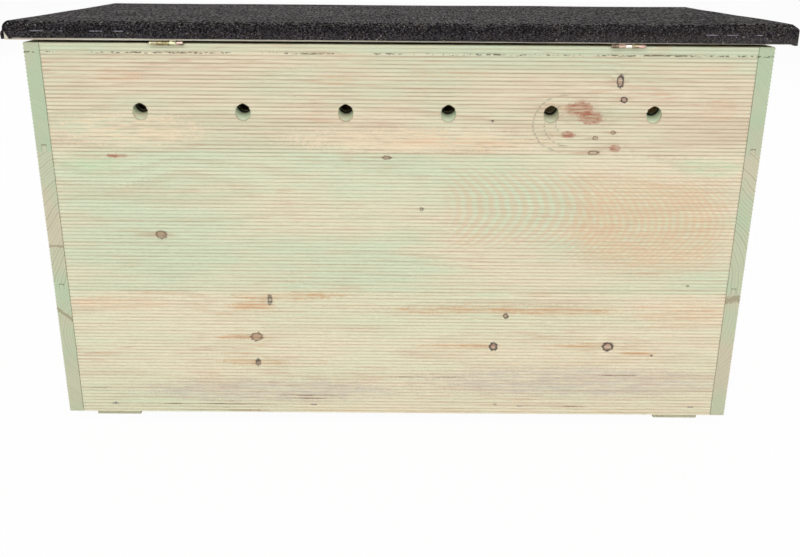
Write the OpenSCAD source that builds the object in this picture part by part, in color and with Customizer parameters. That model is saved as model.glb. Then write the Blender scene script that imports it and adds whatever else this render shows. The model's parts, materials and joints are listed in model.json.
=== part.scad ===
// Hedgehog house of reeded tongue-and-groove boards with a hinged felted lid.
// Millimetres. +Z is up, the entrance faces -Y and the hinges are at +Y.
// The origin is on the ground, in the middle of the space that the house takes up.

/* [Body] */
// Width of the body over the side walls
body_w = 572; // [520:1:700]
// Depth of the body from the front boards to the rear boards
body_d = 255; // [240:1:400]
// How far the bearers hold the walls off the ground
ground_gap = 9; // [4:0.5:10]

/* [Boards] */
// Thickness of the wall boards over the reeds
board_t = 12; // [10:0.5:18]
// Height of the lowest board, up to its shoulder
lower_board_h = 112.5; // [90:0.5:140]
// Height that a whole board covers
middle_board_h = 117; // [90:3:150]
// Height of the top board
upper_board_h = 84; // [72:3:120]
// Distance from one reed to the next
reed_pitch = 3; // [2.5:0.25:5]
// Depth of the grooves between reeds
reed_depth = 0.7; // [0.3:0.05:1]
// Depth of the V where two boards meet
joint_depth = 0.9; // [0.8:0.1:2]
// Thickness of the tongues
tongue_t = 3.6; // [3:0.1:4.5]
// Height of the tongues
tongue_h = 5; // [3:0.5:7]
// Clearance of a tongue in its groove, each side
tongue_gap = 0.15; // [0.1:0.05:0.4]
// Gap at each end of the front and rear boards
end_gap = 0.3; // [0.1:0.1:1]

/* [Vents] */
// Distance of the vents and the hinges to the right of the wall's middle
fittings_x = 1.2; // [-5:0.1:5]
// Number of vent holes
vent_count = 6; // [2:1:6]
// Diameter of the drill that made the vents
vent_d = 12; // [8:0.5:14]
// Distance from one vent to the next
vent_spacing = 80; // [60:1:84]
// Height of the vents above the top board's shoulder
vent_z = 31.5; // [24:0.5:45]
// Upward slant of the vents going in, in degrees
vent_slant = 30; // [0:1:35]

/* [Entrance] */
// Width of the entrance
entrance_w = 125; // [110:1:130]
// Height of the entrance above the floor
entrance_h = 130; // [110:1:150]
// Radius of the entrance's upper corners
entrance_r = 8; // [3:0.5:20]
// Gap between the corner post and the entrance
entrance_margin = 5; // [3:1:12]

/* [Inside] */
// Width of the entrance passage, which ends between two vents
passage_w = 165; // [150:1:175]
// Thickness of the partition
partition_t = 9; // [6:0.5:12]
// Width of the doorway in the partition
doorway_w = 120; // [100:1:130]
// Height of the doorway in the partition
doorway_h = 130; // [110:1:150]
// Distance of the doorway from the rear boards
doorway_margin = 24; // [20:1:40]
// Distance of the partition's top below the wall's top
partition_drop = 6; // [2:1:30]
// Thickness of the floor
floor_t = 9; // [7:0.5:15]
// Gap round the floor
floor_gap = 0.5; // [0.3:0.1:2]
// Width of the corner posts
post_w = 19; // [15:1:25]
// Distance of the posts' tops below the wall's top
post_drop = 3; // [1:1:20]
// Width of the partition's cleats
cleat_w = 15; // [12:1:20]

/* [Bearers] */
// Width of the bearers
bearer_w = 38; // [30:1:50]
// Height of the bearers
bearer_h = 12; // [11:0.5:25]
// Distance of the bearers from the side walls
bearer_inset = 8; // [0:1:40]

/* [Roof] */
// Overhang of the roof past each side wall, with the felt
side_overhang = 14; // [8:1:80]
// Overhang of the roof in front of the front boards, with the felt
front_overhang = 22; // [5:1:60]
// Overhang of the roof behind the rear boards, with the felt
rear_overhang = 3; // [2.5:0.1:3.2]
// Thickness of the roof board
roof_t = 12; // [9:0.5:18]
// Thickness of the felt
felt_t = 1.5; // [1:0.1:2]
// Width of bare board edge under the felt
bare_edge = 1.5; // [0.5:0.1:4]
// Radius of the roof board's upper edges
roof_edge_r = 4; // [1:0.25:4.5]
// Width of the cut at the open corner
corner_cut = 6; // [3:0.5:10]
// Gap between the wall and the roof board at the hinges
lid_gap = 2; // [2:0.1:3]
// Gap between the front boards and the roof board
lid_rest = 0.3; // [0.3:0.1:0.8]

/* [Hinges] */
// Length of a hinge
hinge_l = 25; // [20:1:40]
// Distance of the hinges' middles from the ends of the rear wall
hinge_inset = 111; // [95:1:200]
// Width of a hinge leaf on the wood
leaf_w = 9; // [8:0.5:10]
// Thickness of a hinge leaf
leaf_t = 1; // [0.8:0.1:1.2]
// Radius of the knuckles
knuckle_r = 1.5; // [1.4:0.05:1.7]
// Number of knuckles
knuckle_count = 5; // [3:2:7]
// Gap between two knuckles
knuckle_gap = 0.3; // [0.3:0.05:0.5]
// Gap between the knuckles and the rear boards
knuckle_clear = 0.5; // [0.45:0.05:0.6]
// Radius of the hinge pins
pin_r = 0.8; // [0.6:0.05:0.9]
// Thickness of the hinge pins' heads
pin_head_t = 0.4; // [0.2:0.05:0.8]
// Radial clearance of the hinge pins
pin_clear = 0.05; // [0.02:0.01:0.1]

/* [Fixings] */
// Radius of the brads in the walls
brad_r = 0.8; // [0.6:0.1:1.2]
// Length of the brads in the walls
brad_l = 28; // [22:1:30]
// Length of the brads through the cleats
cleat_brad_l = 21; // [18:0.5:22]
// Radius of the floor and partition screws
screw_r = 1.5; // [1.2:0.1:2]
// Length of the floor and partition screws
screw_l = 18; // [15:1:19]
// Radius of the hinge screws
hinge_screw_r = 1; // [0.8:0.1:1.2]
// Length of the hinge screws
hinge_screw_l = 9; // [6:0.5:10]
// Radial clearance of every fixing in the wood
fixing_clear = 0.05; // [0.02:0.01:0.1]
// Width of the felt's staples
staple_w = 10; // [8:0.5:12]
// Radius of the felt's staples' wire
staple_r = 0.35; // [0.25:0.05:0.35]
// Depth of the felt's staples in the board
staple_leg = 8; // [6:0.5:10]
// Width of the staples in the floor's edge
floor_staple_w = 5; // [4:0.5:8]
// Radius of their wire
floor_staple_r = 0.5; // [0.4:0.05:0.6]
// Length of their legs
floor_staple_leg = 24; // [18:1:28]

/* [Hidden] */
$fn = 48;

// Overlap of a cutting shape with the face that it opens
cut = 1;
// Hinge axis, measured from the rear boards
axis_out = knuckle_clear + knuckle_r;
staple_out = 2 * staple_r;
// Outermost point behind the rear boards, of the knuckles or of the felt's staples
rear_reach = max(axis_out + knuckle_r, rear_overhang + staple_out);
roof_w = body_w + 2 * side_overhang;
roof_d = front_overhang + body_d + rear_overhang;
rear_y = (front_overhang + body_d + staple_out - rear_reach) / 2;
front_y = rear_y - body_d;
mid_y = (front_y + rear_y) / 2;
side_x = body_w / 2;
// Inner faces of the walls
inner_x = side_x - board_t;
inner_front_y = front_y + board_t;
inner_rear_y = rear_y - board_t;
// Heights of the walls, the floor and the joints between boards
wall_z = ground_gap;
joint_1_z = wall_z + lower_board_h;
joint_2_z = joint_1_z + middle_board_h;
top_z = joint_2_z + upper_board_h;
floor_z = bearer_h;
floor_mid_z = floor_z + floor_t / 2;
inside_z = floor_z + floor_t;
// Middles of the bearers
bearer_x = inner_x - bearer_inset - bearer_w / 2;
// The hinge axis lies level with the top of the rear wall
axis_y = rear_y + axis_out;
axis_z = top_z;
// The lid falls this little towards the front, where it rests
lid_fall = asin((lid_gap - lid_rest) / (body_d + axis_out));
// The partition's faces
partition_x = -inner_x + passage_w;
chamber_x = partition_x + partition_t;
// The tongues sit in the middle of the wood behind the reeds
tongue_x = (board_t - joint_depth) / 2;
groove_w = tongue_t + 2 * tongue_gap;
groove_room = 0.5;
groove_h = tongue_h + groove_room;
tongue_chamfer = 0.6;
// A reed's outline is an arc through both grooves
reed_r = (reed_pitch * reed_pitch / 4 + reed_depth * reed_depth) / (2 * reed_depth);
reed_step = reed_pitch / 4;
// Brads and floor staples are driven a little below the grooves
punch = 0.3;
sink = reed_depth + punch;
// Places of the floor staples, as shares of the space between the side walls
floor_staple_places = [0.033, 0.304, 0.632, 0.948];
screw_head_r = 2 * screw_r;
leaf_head_r = 1.9 * hinge_screw_r;
// Places of the screws in a hinge leaf, from its middle and from the rear face
leaf_screw_x = 0.3 * hinge_l;
leaf_screw_in = 0.55 * leaf_w;
pin_head_r = 1.4 * pin_r;
roof_under = axis_z + lid_gap;
roof_top = roof_under + roof_t;
board_rear_y = rear_y + rear_overhang - felt_t;
board_front_y = front_y - front_overhang + felt_t;
felt_x = roof_w / 2;
board_x = felt_x - felt_t;
board_mid_y = (board_front_y + board_rear_y) / 2;
// Outside of the felt's bend over the board's edge
felt_bend_r = roof_edge_r + felt_t;
staple_z = roof_under + (roof_t + bare_edge) / 2;
// Distances of the staples along each edge, from the corner that the list names
rear_staples_right = [12.5, 27, 41.5, 72, 87.5];
rear_staples_left = [31, 48.5, 65];
front_staple_steps = 7;
side_staple_steps = 4;
// Colours as the photograph shows them
pine = [0.86, 0.82, 0.66];
green_pine = [0.76, 0.80, 0.64];
felt_grey = [0.17, 0.17, 0.18];
brass = [0.80, 0.66, 0.38];
zinc = [0.72, 0.73, 0.75];

// Depth of the face behind the tops of the reeds, at a distance from a joint
function reed_in(s) =
    let (u = s / reed_pitch - floor(s / reed_pitch + 0.0001))
    reed_r - sqrt(reed_r * reed_r - pow(reed_pitch * (u - 0.5), 2));

// Distances from a joint at which the face has a point
function reed_stops(h) =
    let (n = floor(h / reed_step - 0.001))
    [for (k = [1:n]) k * reed_step];

// The face from bottom to top, with its reeds counted from the joint
function face_points(h, lower_joint, upper_joint) = concat(
    [[board_t - (lower_joint ? joint_depth : reed_in(h)), 0]],
    lower_joint
        ? [for (s = reed_stops(h)) [board_t - reed_in(s), s]]
        : [for (i = [1:len(reed_stops(h))])
            let (s = reed_stops(h)[len(reed_stops(h)) - i])
            [board_t - reed_in(s), h - s]],
    [[board_t - (upper_joint ? joint_depth : reed_in(h)), h]]);

function groove_points() = [
    [tongue_x - groove_w / 2, 0],
    [tongue_x - groove_w / 2, groove_h],
    [tongue_x + groove_w / 2, groove_h],
    [tongue_x + groove_w / 2, 0]];

function tongue_points(h) = [
    [tongue_x + tongue_t / 2, h],
    [tongue_x + tongue_t / 2, h + tongue_h - tongue_chamfer],
    [tongue_x + tongue_t / 2 - tongue_chamfer, h + tongue_h],
    [tongue_x - tongue_t / 2 + tongue_chamfer, h + tongue_h],
    [tongue_x - tongue_t / 2, h + tongue_h - tongue_chamfer],
    [tongue_x - tongue_t / 2, h]];

// Section of a board: back at x = 0, reeded face at x = board_t, bottom at y = 0
module board_section(h, lower_joint, upper_joint) {
    polygon(concat(
        [[0, 0]],
        lower_joint ? groove_points() : [],
        face_points(h, lower_joint, upper_joint),
        upper_joint ? tongue_points(h) : [],
        [[0, h]]));
}

// A board along X with its back at y = 0 and its face towards +Y
module long_board(length, h, lower_joint, upper_joint) {
    rotate([90, 0, 90])
        linear_extrude(length, center = true) board_section(h, lower_joint, upper_joint);
}

module rear_wall_board(z, h, lower_joint, upper_joint) {
    translate([0, inner_rear_y, z])
        long_board(2 * (inner_x - end_gap), h, lower_joint, upper_joint);
}

module front_wall_board(z, h, lower_joint, upper_joint) {
    translate([0, inner_front_y, z]) mirror([0, 1, 0])
        long_board(2 * (inner_x - end_gap), h, lower_joint, upper_joint);
}

// side is 1 for the right wall and -1 for the left one
module side_wall_board(side, z, h, lower_joint, upper_joint) {
    mirror([side < 0 ? 1 : 0, 0, 0])
        translate([inner_x, mid_y, z]) rotate([90, 0, 0])
            linear_extrude(body_d, center = true) board_section(h, lower_joint, upper_joint);
}

// Brads: heights on each board, and places along the side walls
function brad_zs(z, h) = [z + h * 0.25, z + h * 0.75];

module side_brads_at(side, clear) {
    wall_ys = [front_y + board_t / 2, rear_y - board_t / 2];
    post_ys = [inner_front_y + post_w / 2, inner_rear_y - post_w / 2];
    for (z = concat(
            brad_zs(wall_z + tongue_h, lower_board_h - tongue_h),
            brad_zs(joint_1_z, middle_board_h),
            brad_zs(joint_2_z, upper_board_h)))
        for (y = wall_ys)
            brad(side, y, z, clear);
    for (z = [(inside_z + joint_1_z) / 2, (joint_1_z + joint_2_z) / 2, (joint_2_z + top_z) / 2])
        for (y = post_ys)
            brad(side, y, z, clear);
    for (y = [mid_y - body_d / 6, mid_y + body_d / 6])
        brad(side, y, floor_mid_z, clear);
}

// One brad through a side wall, driven below the reeds. With a clearance it is the brad's hole.
module brad(side, y, z, clear) {
    outer = side_x - (clear > 0 ? -cut : sink);
    inner = side_x - sink - brad_l - clear;
    translate([side > 0 ? inner : -outer, y, z]) rotate([0, 90, 0])
        cylinder(h = outer - inner, r = brad_r + clear);
}

// Cleat brads: one in each board, front and rear
module cleat_brads_at(clear) {
    x = chamber_x + cleat_w / 2;
    out = clear > 0 ? cut : 0;
    for (z = [(inside_z + joint_1_z) / 2, (joint_1_z + joint_2_z) / 2, (joint_2_z + top_z) / 2]) {
        translate([x, inner_rear_y - cleat_w - out, z]) rotate([-90, 0, 0])
            cylinder(h = cleat_brad_l + clear + out, r = brad_r + clear);
        translate([x, inner_front_y + cleat_w + out, z]) rotate([90, 0, 0])
            cylinder(h = cleat_brad_l + clear + out, r = brad_r + clear);
    }
}

// A countersunk screw along -Z with the flat of its head at z = 0.
// With a clearance it is the screw's hole, which has a flat end.
module countersunk(r, head_r, length, clear) {
    point = clear > 0 ? 0 : 2 * r;
    top = clear > 0 ? cut : 0;
    rotate_extrude() polygon(concat(
        [[0, top], [0, -length - clear]],
        clear > 0 ? [[r + clear, -length - clear]] : [],
        [[r + clear, point - length], [r + clear, r - head_r], [head_r + clear, 0]],
        clear > 0 ? [[head_r + clear, top]] : []));
}

module floor_screws_at(clear) {
    for (side = [-1, 1])
        for (y = [mid_y - body_d / 3, mid_y, mid_y + body_d / 3])
            translate([side * bearer_x, y, inside_z])
                countersunk(screw_r, screw_head_r, screw_l, clear);
}

// One staple from a face towards -Y, its crown driven below the reeds.
// With a clearance it is the staple's hole, a little wider round the crown.
module floor_staple(clear) {
    from = clear > 0 ? -cut : sink;
    legs = sink + 2 * floor_staple_r;
    crown_w = floor_staple_w + 4 * clear;
    crown_h = 2 * floor_staple_r + 4 * clear;
    translate([-crown_w / 2, from, -crown_h / 2])
        cube([crown_w, legs + clear - from, crown_h]);
    for (x = [-1, 1])
        translate([x * (floor_staple_w / 2 - floor_staple_r), legs, 0]) rotate([-90, 0, 0])
            cylinder(h = floor_staple_leg + clear, r = floor_staple_r + clear, $fn = 16);
}

module floor_staples_at(clear) {
    for (place = floor_staple_places) {
        x = (2 * place - 1) * inner_x;
        translate([x, front_y, floor_mid_z]) floor_staple(clear);
        translate([x, rear_y, floor_mid_z]) rotate([0, 0, 180]) floor_staple(clear);
    }
}

module partition_screws_at(clear) {
    for (z = [inside_z + doorway_h / 6, joint_2_z])
        for (y = [inner_front_y + cleat_w / 2, inner_rear_y - cleat_w / 2])
            translate([partition_x, y, z]) rotate([0, -90, 0])
                countersunk(screw_r, screw_head_r, screw_l, clear);
}

// Middle of a hinge. side is 1 for the right one and -1 for the left one.
function hinge_at(side) = fittings_x + side * (side_x - hinge_inset);

// Hinge screws at both hinges. lid is true for those in the lid's leaves.
module leaf_screws_at(lid, clear) {
    for (side = [-1, 1])
        for (end = [-1, 1])
            translate([hinge_at(side) + end * leaf_screw_x, rear_y - leaf_screw_in,
                    lid ? roof_under - leaf_t : top_z])
                rotate([lid ? 180 : 0, 0, 0])
                    countersunk(hinge_screw_r, leaf_head_r, hinge_screw_l, clear);
}

// A doorway along Y with rounded upper corners. below is how far it cuts under its sill.
module opening(w, h, r, length, below) {
    translate([-w / 2, -length / 2, -below]) cube([w, length, h - r + below]);
    translate([-w / 2 + r, -length / 2, 0]) cube([w - 2 * r, length, h]);
    for (x = [-1, 1])
        translate([x * (w / 2 - r), 0, h - r]) rotate([90, 0, 0])
            cylinder(h = length, r = r, center = true);
}

module entrance_cut() {
    x = -inner_x + post_w + entrance_margin + entrance_w / 2;
    translate([x, inner_front_y - board_t / 2, inside_z])
        opening(entrance_w, entrance_h, entrance_r, 3 * board_t, 0);
}

module vents() {
    for (i = [0:vent_count - 1])
        translate([fittings_x + (i - (vent_count - 1) / 2) * vent_spacing, rear_y, joint_2_z + vent_z])
            rotate([90 - vent_slant, 0, 0])
                cylinder(h = 5 * board_t, d = vent_d, center = true);
}

// Turns a lid piece, drawn level, to the lid's place at rest
module on_lid() {
    translate([0, axis_y, axis_z]) rotate([lid_fall, 0, 0]) translate([0, -axis_y, -axis_z])
        children();
}

module rear_board_lower() {
    color(pine) difference() {
        rear_wall_board(wall_z, lower_board_h, false, true);
        side_brads_at(1, fixing_clear);
        side_brads_at(-1, fixing_clear);
        cleat_brads_at(fixing_clear);
        floor_staples_at(fixing_clear);
    }
}

module rear_board_middle() {
    color(green_pine) difference() {
        rear_wall_board(joint_1_z, middle_board_h, true, true);
        side_brads_at(1, fixing_clear);
        side_brads_at(-1, fixing_clear);
        cleat_brads_at(fixing_clear);
    }
}

module rear_board_upper() {
    color(pine) difference() {
        rear_wall_board(joint_2_z, upper_board_h, true, false);
        vents();
        side_brads_at(1, fixing_clear);
        side_brads_at(-1, fixing_clear);
        cleat_brads_at(fixing_clear);
        leaf_screws_at(false, fixing_clear);
        for (side = [-1, 1])
            leaf_recess(side);
    }
}

// The shallow housing for a hinge leaf in the top edge of the rear boards
module leaf_recess(side) {
    translate([hinge_at(side) - hinge_l / 2, rear_y - leaf_w, top_z - leaf_t])
        cube([hinge_l, leaf_w + cut, leaf_t + cut]);
}

module front_board_lower() {
    color(pine) difference() {
        front_wall_board(wall_z, lower_board_h, false, true);
        entrance_cut();
        side_brads_at(1, fixing_clear);
        side_brads_at(-1, fixing_clear);
        cleat_brads_at(fixing_clear);
        floor_staples_at(fixing_clear);
    }
}

module front_board_middle() {
    color(green_pine) difference() {
        front_wall_board(joint_1_z, middle_board_h, true, true);
        entrance_cut();
        side_brads_at(1, fixing_clear);
        side_brads_at(-1, fixing_clear);
        cleat_brads_at(fixing_clear);
    }
}

module front_board_upper() {
    color(pine) difference() {
        front_wall_board(joint_2_z, upper_board_h, true, false);
        side_brads_at(1, fixing_clear);
        side_brads_at(-1, fixing_clear);
        cleat_brads_at(fixing_clear);
    }
}

module left_board_lower() {
    side_board_lower(-1);
}

module left_board_middle() {
    side_board_middle(-1);
}

module left_board_upper() {
    side_board_upper(-1);
}

module right_board_lower() {
    side_board_lower(1);
}

module right_board_middle() {
    side_board_middle(1);
}

module right_board_upper() {
    side_board_upper(1);
}

module side_board_lower(side) {
    color(green_pine) difference() {
        side_wall_board(side, wall_z, lower_board_h, false, true);
        side_brads_at(side, fixing_clear);
    }
}

module side_board_middle(side) {
    color(pine) difference() {
        side_wall_board(side, joint_1_z, middle_board_h, true, true);
        side_brads_at(side, fixing_clear);
    }
}

module side_board_upper(side) {
    color(green_pine) difference() {
        side_wall_board(side, joint_2_z, upper_board_h, true, false);
        side_brads_at(side, fixing_clear);
    }
}

// A corner post. side is 1 on the right, end is 1 at the rear.
module post(side, end) {
    x = side > 0 ? inner_x - post_w : -inner_x;
    y = end > 0 ? inner_rear_y - post_w : inner_front_y;
    color(pine) difference() {
        translate([x, y, inside_z]) cube([post_w, post_w, top_z - post_drop - inside_z]);
        side_brads_at(side, fixing_clear);
    }
}

module rear_left_post() {
    post(-1, 1);
}

module rear_right_post() {
    post(1, 1);
}

module front_left_post() {
    post(-1, -1);
}

module front_right_post() {
    post(1, -1);
}

module bearer(side) {
    color(pine) difference() {
        translate([side * bearer_x - bearer_w / 2, inner_front_y, 0])
            cube([bearer_w, body_d - 2 * board_t, bearer_h]);
        floor_screws_at(fixing_clear);
    }
}

module left_bearer() {
    bearer(-1);
}

module right_bearer() {
    bearer(1);
}

module floor_panel() {
    color(pine) difference() {
        translate([-inner_x + floor_gap, inner_front_y + floor_gap, floor_z])
            cube([2 * (inner_x - floor_gap), body_d - 2 * (board_t + floor_gap), floor_t]);
        side_brads_at(1, fixing_clear);
        side_brads_at(-1, fixing_clear);
        floor_screws_at(fixing_clear);
        floor_staples_at(fixing_clear);
    }
}

module partition_panel() {
    color(pine) difference() {
        translate([partition_x, inner_front_y + floor_gap, inside_z])
            cube([partition_t, body_d - 2 * (board_t + floor_gap), top_z - partition_drop - inside_z]);
        translate([partition_x, inner_rear_y - doorway_margin - doorway_w / 2, inside_z])
            rotate([0, 0, 90]) opening(doorway_w, doorway_h, entrance_r, 3 * partition_t, cut);
        partition_screws_at(fixing_clear);
    }
}

// A batten beside the partition. end is 1 at the rear.
module cleat(end) {
    y = end > 0 ? inner_rear_y - cleat_w : inner_front_y;
    color(pine) difference() {
        translate([chamber_x, y, inside_z])
            cube([cleat_w, cleat_w, top_z - partition_drop - inside_z]);
        partition_screws_at(fixing_clear);
        cleat_brads_at(fixing_clear);
    }
}

module partition_front_cleat() {
    cleat(-1);
}

module partition_rear_cleat() {
    cleat(1);
}

module left_side_brads() {
    color(zinc) side_brads_at(-1, 0);
}

module right_side_brads() {
    color(zinc) side_brads_at(1, 0);
}

module cleat_brads() {
    color(zinc) cleat_brads_at(0);
}

module floor_screws() {
    color(zinc) floor_screws_at(0);
}

module floor_staples() {
    color(zinc) floor_staples_at(0);
}

module partition_screws() {
    color(zinc) partition_screws_at(0);
}

module wall_leaf_screws() {
    color(brass) leaf_screws_at(false, 0);
}

module lid_leaf_screws() {
    color(brass) on_lid() leaf_screws_at(true, 0);
}

// Ends of knuckle i along a hinge, measured from the hinge's middle
function knuckle_from(i) =
    i * hinge_l / knuckle_count - hinge_l / 2 + (i > 0 ? knuckle_gap / 2 : 0);
function knuckle_to(i) =
    (i + 1) * hinge_l / knuckle_count - hinge_l / 2 - (i < knuckle_count - 1 ? knuckle_gap / 2 : 0);

// A leaf's own knuckles, every second one from the first, with the strips that join them to the leaf
module knuckles(side, first, neck_z) {
    for (i = [first:2:knuckle_count - 1])
        translate([hinge_at(side) + knuckle_from(i), 0, 0]) {
            translate([0, axis_y, axis_z]) rotate([0, 90, 0])
                cylinder(h = knuckle_to(i) - knuckle_from(i), r = knuckle_r);
            translate([0, rear_y - cut, neck_z])
                cube([knuckle_to(i) - knuckle_from(i), axis_out + cut, leaf_t]);
        }
}

module pin_bore(side) {
    translate([hinge_at(side), axis_y, axis_z]) rotate([0, 90, 0])
        cylinder(h = hinge_l + 2 * cut, r = pin_r + pin_clear, center = true);
}

module hinge_wall_leaf(side) {
    color(brass) difference() {
        union() {
            translate([hinge_at(side) - hinge_l / 2, rear_y - leaf_w, top_z - leaf_t])
                cube([hinge_l, leaf_w, leaf_t]);
            knuckles(side, 0, top_z - leaf_t);
        }
        pin_bore(side);
        leaf_screws_at(false, fixing_clear);
    }
}

module hinge_lid_leaf(side) {
    color(brass) on_lid() difference() {
        union() {
            translate([hinge_at(side) - hinge_l / 2, rear_y - leaf_w, roof_under - leaf_t])
                cube([hinge_l, leaf_w, leaf_t]);
            knuckles(side, 1, roof_under - leaf_t);
        }
        pin_bore(side);
        leaf_screws_at(true, fixing_clear);
    }
}

module left_hinge_wall_leaf() {
    hinge_wall_leaf(-1);
}

module right_hinge_wall_leaf() {
    hinge_wall_leaf(1);
}

module left_hinge_lid_leaf() {
    hinge_lid_leaf(-1);
}

module right_hinge_lid_leaf() {
    hinge_lid_leaf(1);
}

// A pin with a flat head at each end
module hinge_pin(side) {
    color(brass) translate([hinge_at(side), axis_y, axis_z]) rotate([0, 90, 0]) {
        cylinder(h = hinge_l, r = pin_r, center = true);
        for (end = [-1, 1])
            translate([0, 0, end * (hinge_l + pin_head_t) / 2])
                cylinder(h = pin_head_t, r = pin_head_r, center = true);
    }
}

module left_hinge_pin() {
    hinge_pin(-1);
}

module right_hinge_pin() {
    hinge_pin(1);
}

module roof_board() {
    color(pine) on_lid() difference() {
        translate([0, board_mid_y, roof_under])
            eased_slab(2 * board_x, roof_d - 2 * felt_t, roof_t, roof_edge_r);
        leaf_screws_at(true, fixing_clear);
        staples_at(fixing_clear);
    }
}

// Outline with two round upper corners
module eased_outline(w, h, r) {
    translate([-w / 2, 0]) square([w, h - r]);
    translate([-w / 2 + r, 0]) square([w - 2 * r, h]);
    for (x = [-1, 1])
        translate([x * (w / 2 - r), h - r]) circle(r = r);
}

// A slab on z = 0 with all its upper edges rounded
module eased_slab(w, d, h, r) {
    intersection() {
        rotate([90, 0, 0])
            linear_extrude(d, center = true) eased_outline(w, h, r);
        rotate([90, 0, 90])
            linear_extrude(w, center = true) eased_outline(d, h, r);
    }
}

module roof_felt() {
    color(felt_grey) on_lid() difference() {
        translate([0, board_mid_y, roof_under + bare_edge])
            eased_slab(roof_w, roof_d, roof_t - bare_edge + felt_t, felt_bend_r);
        translate([0, board_mid_y, roof_under - cut])
            eased_slab(2 * board_x, roof_d - 2 * felt_t, roof_t + cut, roof_edge_r);
        open_corner_cut();
        staples_at(fixing_clear);
    }
}

// The rear skirt is cut away on a slant at the right-hand corner
module open_corner_cut() {
    low = roof_under + bare_edge - cut;
    high = roof_top + felt_t - felt_bend_r;
    translate([board_x, board_rear_y + felt_t + cut, 0]) rotate([90, 0, 0])
        linear_extrude(felt_t + 2 * cut)
            polygon([[-corner_cut, low], [-corner_cut, low + cut], [0, high], [0, low]]);
}

// One staple over an edge facing -Y, its crown at y = 0 and its legs towards +Y
module staple(clear) {
    out = clear > 0 ? cut : 0;
    for (x = [-1, 1])
        translate([x * (staple_w / 2 - staple_r), -out, 0]) rotate([-90, 0, 0])
            cylinder(h = felt_t + staple_leg + clear + out, r = staple_r + clear, $fn = 16);
    if (clear == 0)
        translate([0, -staple_r, 0]) cube([staple_w, staple_out, staple_out], center = true);
}

module staples_at(clear) {
    rear = board_rear_y + felt_t;
    front = board_front_y - felt_t;
    for (s = rear_staples_right)
        translate([felt_x - s, rear, staple_z]) rotate([0, 0, 180]) staple(clear);
    for (s = rear_staples_left)
        translate([-felt_x + s, rear, staple_z]) rotate([0, 0, 180]) staple(clear);
    for (i = [1:front_staple_steps])
        translate([-felt_x + i * roof_w / (front_staple_steps + 1), front, staple_z])
            staple(clear);
    for (i = [1:side_staple_steps]) {
        y = front + i * roof_d / (side_staple_steps + 1);
        translate([felt_x, y, staple_z]) rotate([0, 0, 90]) staple(clear);
        translate([-felt_x, y, staple_z]) rotate([0, 0, -90]) staple(clear);
    }
}

module felt_staples() {
    color(zinc) on_lid() staples_at(0);
}

rear_board_lower();
rear_board_middle();
rear_board_upper();
front_board_lower();
front_board_middle();
front_board_upper();
left_board_lower();
left_board_middle();
left_board_upper();
right_board_lower();
right_board_middle();
right_board_upper();
rear_left_post();
rear_right_post();
front_left_post();
front_right_post();
left_bearer();
right_bearer();
floor_panel();
partition_panel();
partition_front_cleat();
partition_rear_cleat();
left_side_brads();
right_side_brads();
cleat_brads();
floor_screws();
floor_staples();
partition_screws();
left_hinge_wall_leaf();
right_hinge_wall_leaf();
left_hinge_lid_leaf();
right_hinge_lid_leaf();
left_hinge_pin();
right_hinge_pin();
wall_leaf_screws();
lid_leaf_screws();
roof_board();
roof_felt();
felt_staples();
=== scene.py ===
import json
import math
import random

import bmesh
import bpy
from mathutils import Matrix, Vector, noise


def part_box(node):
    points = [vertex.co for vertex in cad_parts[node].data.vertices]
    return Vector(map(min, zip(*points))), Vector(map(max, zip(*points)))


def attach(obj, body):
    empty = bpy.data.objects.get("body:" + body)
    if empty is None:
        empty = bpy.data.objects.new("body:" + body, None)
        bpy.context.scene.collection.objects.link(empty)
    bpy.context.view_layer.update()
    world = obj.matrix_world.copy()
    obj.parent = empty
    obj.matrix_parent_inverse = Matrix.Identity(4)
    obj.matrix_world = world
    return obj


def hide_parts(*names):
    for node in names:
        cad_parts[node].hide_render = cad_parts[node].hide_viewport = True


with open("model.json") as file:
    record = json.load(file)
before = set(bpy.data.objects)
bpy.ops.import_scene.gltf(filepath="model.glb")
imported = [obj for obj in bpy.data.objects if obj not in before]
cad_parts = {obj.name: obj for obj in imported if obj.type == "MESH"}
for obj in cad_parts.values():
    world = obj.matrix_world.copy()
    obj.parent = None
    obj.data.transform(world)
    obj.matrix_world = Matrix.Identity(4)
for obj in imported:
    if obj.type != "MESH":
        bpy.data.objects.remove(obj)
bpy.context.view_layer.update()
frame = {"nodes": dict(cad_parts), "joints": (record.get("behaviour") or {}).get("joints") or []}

# Hedgehog house of reeded pine boards with a felted lid, seen from behind as in the photograph.
# Metres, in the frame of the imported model: +Z up, the entrance faces -Y, the hinges are at +Y.

MM = 0.001
X, Y, Z = range(3)
QUARTER = math.radians(90)

# Places that the pieces share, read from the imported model
SIDE_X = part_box("right_board_middle")[1].x
WALL_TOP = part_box("rear_board_upper")[1].z
HINGE = Vector(frame["joints"][0]["pos_m"])
# Sizes in the part's source
REED_DEPTH = 0.7 * MM
HINGE_LONG = 25 * MM


def srgb(red, green, blue):
    """A colour given in 0 to 255 as a screen shows it, in Blender's linear values."""
    def linear(value):
        value /= 255
        return value / 12.92 if value <= 0.04045 else ((value + 0.055) / 1.055) ** 2.4
    return (linear(red), linear(green), linear(blue), 1.0)


def new_object(name, data):
    thing = bpy.data.objects.new(name, data)
    bpy.context.collection.objects.link(thing)
    return thing


# ---- Short calls for node trees ----

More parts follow.
